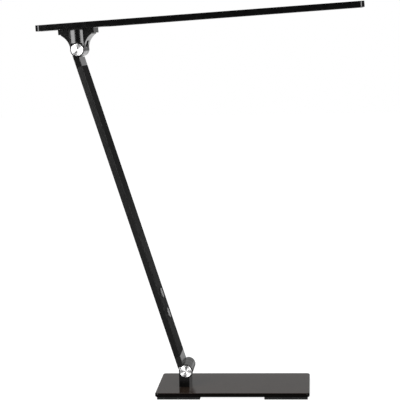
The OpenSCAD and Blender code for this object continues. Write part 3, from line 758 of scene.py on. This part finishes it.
base_plate_skin()
foot_skin("foot_left", *FOOT_X[0], SCREW_YS)
foot_skin("foot_right", *FOOT_X[1], ())
base_bracket_skin()
cap_skin("base_cap_front", AT_AXIS, -1)
cap_skin("base_cap_rear", AT_AXIS, 1)
cap_skin("head_cap_front", IN_HEAD, -1)
cap_skin("head_cap_rear", IN_HEAD, 1)

# Arm
ARM_BACK = -7.6
ARM_HALF = 22.5
ARM_EDGE = 0.6
ARM_WALL = 1.2
ARM_MID = (ARM_FRONT + ARM_BACK) / 2
TUBE_START = 19.5
JOINT_EDGE = 0.12
TURN_R = 8.85
PLUG_END = 41.5
PLUG_EDGE = 0.4
ARM_CABLE_R = 2.1
BUTTON_AT = {"power_button": 70.0, "mode_button": 95.0}
BUTTON_R = 6.0
BUTTON_HOLE_R = 6.3
BUTTON_TOP = 0.6
BUTTON_EDGE = 0.35
BUTTON_DISH = 0.3
DISH_R = 4.9
FLANGE_R = 7.2
FLANGE_THK = 0.8
STEM_R = 1.2
STEM_END = -3.4
SCREW_AT = 30.5
SCREW_Y = 14.0
ARM_SCREW_R = 1.5
ARM_SCREW_HEAD_R = 2.7


def arm_ring(inset, z, edge=ARM_EDGE):
    """The arm's section across its length, with round corners."""
    return level_ring(ARM_BACK, -ARM_HALF, ARM_FRONT, ARM_HALF, edge + inset, inset, z,
        segments=5)


def screw_takes(at):
    """Two countersinks in the arm's back."""
    return [
        rod((ARM_BACK - SINK, y, at), (ARM_BACK + ARM_WALL, y, at), ARM_SCREW_HEAD_R + SINK,
            ARM_SCREW_R)
        for y in (-SCREW_Y, SCREW_Y)
    ]


def arm_tube_skin():
    """The hollow tube with soft corners: bore, two button holes and four countersinks cut in."""
    start, end = TUBE_START, ARM_LEN - TUBE_START
    outside = lofted([
        arm_ring(JOINT_EDGE, start), arm_ring(0.0, start + JOINT_EDGE),
        arm_ring(0.0, end - JOINT_EDGE), arm_ring(JOINT_EDGE, end),
    ])
    bore = lofted([arm_ring(ARM_WALL, z, LEAST_CORNER) for z in (start - 1, end + 1)])
    holes = [
        rod((ARM_FRONT - ARM_WALL - 1, 0, at), (ARM_FRONT + 1, 0, at), BUTTON_HOLE_R)
        for at in BUTTON_AT.values()
    ]
    screws = screw_takes(SCREW_AT) + screw_takes(ARM_LEN - SCREW_AT)
    finished(merged("arm_tube_skin", IN_ARM, [outside], [bore] + holes + screws), "arm_tube")


def fitting_skin(node, place):
    """An end piece: the arm's section hollowed round the barrel, plug, neck and knuckle."""
    inset = ARM_WALL + SLIP
    sleeve = lofted([
        arm_ring(0.0, 0.0), arm_ring(0.0, TUBE_START - JOINT_EDGE),
        arm_ring(JOINT_EDGE, TUBE_START),
    ])
    round_barrel = turned([(TURN_R, -30), (TURN_R, 30)])
    hollow = merged(node + "_skin", place, [sleeve], [round_barrel])
    plug = lofted([
        arm_ring(inset, TUBE_START - 1), arm_ring(inset, PLUG_END - PLUG_EDGE),
        arm_ring(inset + PLUG_EDGE, PLUG_END),
    ])
    neck = box(ARM_BACK, -KNUCKLE, 0.0, ARM_FRONT, KNUCKLE, TURN_R + 1)
    knuckle = bar(BARREL_R, -KNUCKLE, KNUCKLE, KNUCKLE_EDGE, KNUCKLE_EDGE)
    pin_hole = turned([(PIN_HOLE_R, -9), (PIN_HOLE_R, 9)])
    cable_way = rod((ARM_MID, 0, 9), (ARM_MID, 0, 45), ARM_CABLE_R)
    finished(merged(node + "_skin", place, [hollow, plug, neck, knuckle], [pin_hole, cable_way]),
        node)


def button_skin(node, at):
    """A round button: top = rim - dish (1 - share^2) inside a soft rim, with flange and stem."""
    under = ARM_FRONT - ARM_WALL
    share = np.linspace(0.05, 1.0, 12)
    profile = [(DISH_R * s, BUTTON_TOP - BUTTON_DISH * (1 - s ** 2)) for s in share]
    rim = edge_steps(under, BUTTON_TOP, 0.0, BUTTON_EDGE)[::-1]
    profile += [(BUTTON_R - inset, y) for inset, y in rim]
    low = under - FLANGE_THK
    profile += [(FLANGE_R, under), (FLANGE_R, low), (STEM_R, low), (STEM_R, STEM_END)]
    points, faces = turned(profile)
    finished(mesh_object(node + "_skin", (points[:, [1, 0, 2]] + (0.0, 0.0, at), faces), IN_ARM),
        node)


arm_tube_skin()
fitting_skin("lower_fitting", IN_ARM)
fitting_skin("upper_fitting", AT_ARM_TOP)
for button, at in BUTTON_AT.items():
    button_skin(button, at)

# Head
HEAD = (-46.2, -30.0, 334.8, 30.0)
HEAD_LOW = 24.4
HEAD_TOP = 31.6
HEAD_CORNER = 5.0
HEAD_EDGE = 0.5
HEAD_WALL = 1.2
LIP_WID = 1.2
LIP_THK = 1.0
LIP_UP = 0.02
PLATE_REACH = 32.0
PLATE_THK = 2.0
BOSS_XS = (-38.85, 26.0)
BOSS_Y = 22.0
BOSS_R = 3.0
PLATE_SCREW_R = 1.25
PLATE_SCREW_IN = 5.3
FLARE_HALF = 21.0
FLARE_TIP = 18.4
TIP_RELIEF = 3.0
HOLLOW_X = 28.4
HOLLOW_R = 20.2
WING_Y = 20.7
WING_EDGE = 0.4
RIB_STRAIGHT = (-2.0, 21.2)
RIB_CURVED = 21.5
RIB_HALF = 8.2
RIB_R = 18.64
RIB_FILLET = 3.0
RIB_RISE = 0.12
RIB_SPREAD = 0.7
RIB_BACK = 15.0
SLOT_TOP = 9.75
CABLE_Y = 18.7
CABLE_R = 2.0
BOLT_X = 15.0
BOLT_Y = 14.0
BOLT_R = 1.5
BOLT_IN = 6.5


def head_ring(inset, z):
    """The head's outline at a height, pulled in by inset."""
    return level_ring(*HEAD, HEAD_CORNER, inset, z, segments=14)


def head_housing_skin():
    """The tray: an outer skin with soft edges over a thin wall, bosses, and the window's lip."""
    steps = edge_steps(HEAD_LOW, HEAD_TOP, HEAD_EDGE, HEAD_EDGE, segments=4)[::-1]
    inside = HEAD_TOP - HEAD_WALL
    rings = [head_ring(inset, z) for inset, z in steps]
    rings += [head_ring(HEAD_WALL, HEAD_LOW), head_ring(HEAD_WALL, inside)]
    low, high = HEAD_LOW + LIP_UP, HEAD_LOW + LIP_THK
    outer, inner = HEAD_WALL - OVERLAP, HEAD_WALL + LIP_WID
    frame_ring = lofted([head_ring(outer, low), head_ring(outer, high), head_ring(inner, high),
        head_ring(inner, low)], closed=True)
    lip = merged("lip", IN_HEAD, [frame_ring], [box(-60, -40, 0, PLATE_REACH + SLIP, 40, 40)])
    bosses = [(x, y) for x in BOSS_XS for y in (-BOSS_Y, BOSS_Y)]
    gives = [lofted(rings), lip]
    gives += [rod((x, y, HEAD_LOW + PLATE_THK), (x, y, inside + OVERLAP), BOSS_R)
        for x, y in bosses]
    takes = [rod((x, y, HEAD_LOW), (x, y, HEAD_LOW + PLATE_SCREW_IN), PLATE_SCREW_R)
        for x, y in bosses]
    finished(merged("head_housing_skin", IN_HEAD, gives, takes), "head_housing")


def wing_outline():
    """The bracket seen along Y: flat on top, thin foot tips, and hollow sides that are arcs of
    circles about (HOLLOW_X, 0) on either side."""
    tip_z = math.sqrt(HOLLOW_R ** 2 - (HOLLOW_X - FLARE_HALF + TIP_RELIEF) ** 2)
    heights = np.linspace(0.0, tip_z, 30)
    reach = HOLLOW_X - np.sqrt(HOLLOW_R ** 2 - heights ** 2)
    right = np.concatenate([
        np.column_stack([reach, heights]),
        [(FLARE_HALF - TIP_RELIEF, FLARE_TIP), (FLARE_HALF, FLARE_TIP), (FLARE_HALF, HEAD_LOW)],
    ])
    return np.concatenate([right, (right * (-1.0, 1.0))[::-1]])


def rib(side):
    """The half-round column down a face: y = a circle's arc over x, |x| <= half, and near the
    top both half and rise grow by a fillet f(z) = R - sqrt(R^2 - (z - z0)^2)."""
    z = np.concatenate(
        [np.linspace(*RIB_STRAIGHT, 8), np.linspace(RIB_CURVED, HEAD_LOW, 10)])[:, None]
    grow = np.maximum(z - (HEAD_LOW - RIB_FILLET), 0.0)
    fillet = RIB_FILLET - np.sqrt(RIB_FILLET ** 2 - grow ** 2)
    share = np.linspace(1.0, -1.0, 41)[None, :]
    rise = EAR_OUT - RIB_R + np.sqrt(RIB_R ** 2 - (share * RIB_HALF) ** 2) + RIB_RISE * fillet
    front = np.stack([share * (RIB_HALF + RIB_SPREAD * fillet), side * rise, z + 0.0 * share], -1)
    back = front[:, [-1, 0]] * (1.0, 0.0, 1.0) + (0.0, side * RIB_BACK, 0.0)
    return lofted(np.concatenate([front, back], 1))


def head_bracket_skin():
    """The bracket: hollow-sided block, two ribs, two ears, then slot, bores and cable way."""
    gives = [drawn(wing_outline(), -WING_Y, WING_Y, WING_EDGE), rib(-1), rib(1)]
    gives += [bar(BARREL_R, EAR_IN - 1, EAR_OUT, 0.0, BARREL_EDGE),
        bar(BARREL_R, -EAR_OUT, 1 - EAR_IN, BARREL_EDGE, 0.0)]
    takes = [box(-40, -EAR_IN, -20, 40, EAR_IN, SLOT_TOP)] + ear_takes()
    takes.append(rod((0, CABLE_Y, 0), (0, CABLE_Y, 30), CABLE_R))
    takes += [
        rod((x, y, HEAD_LOW - BOLT_IN), (x, y, 30), BOLT_R)
        for x in (-BOLT_X, BOLT_X) for y in (-BOLT_Y, BOLT_Y)
    ]
    finished(merged("head_bracket_skin", IN_HEAD, gives, takes), "head_bracket")


head_housing_skin()
head_bracket_skin()

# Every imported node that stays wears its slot's finish
for node, thing in frame["nodes"].items():
    thing.material_slots[0].material = FINISH[SLOT_OF[node]]
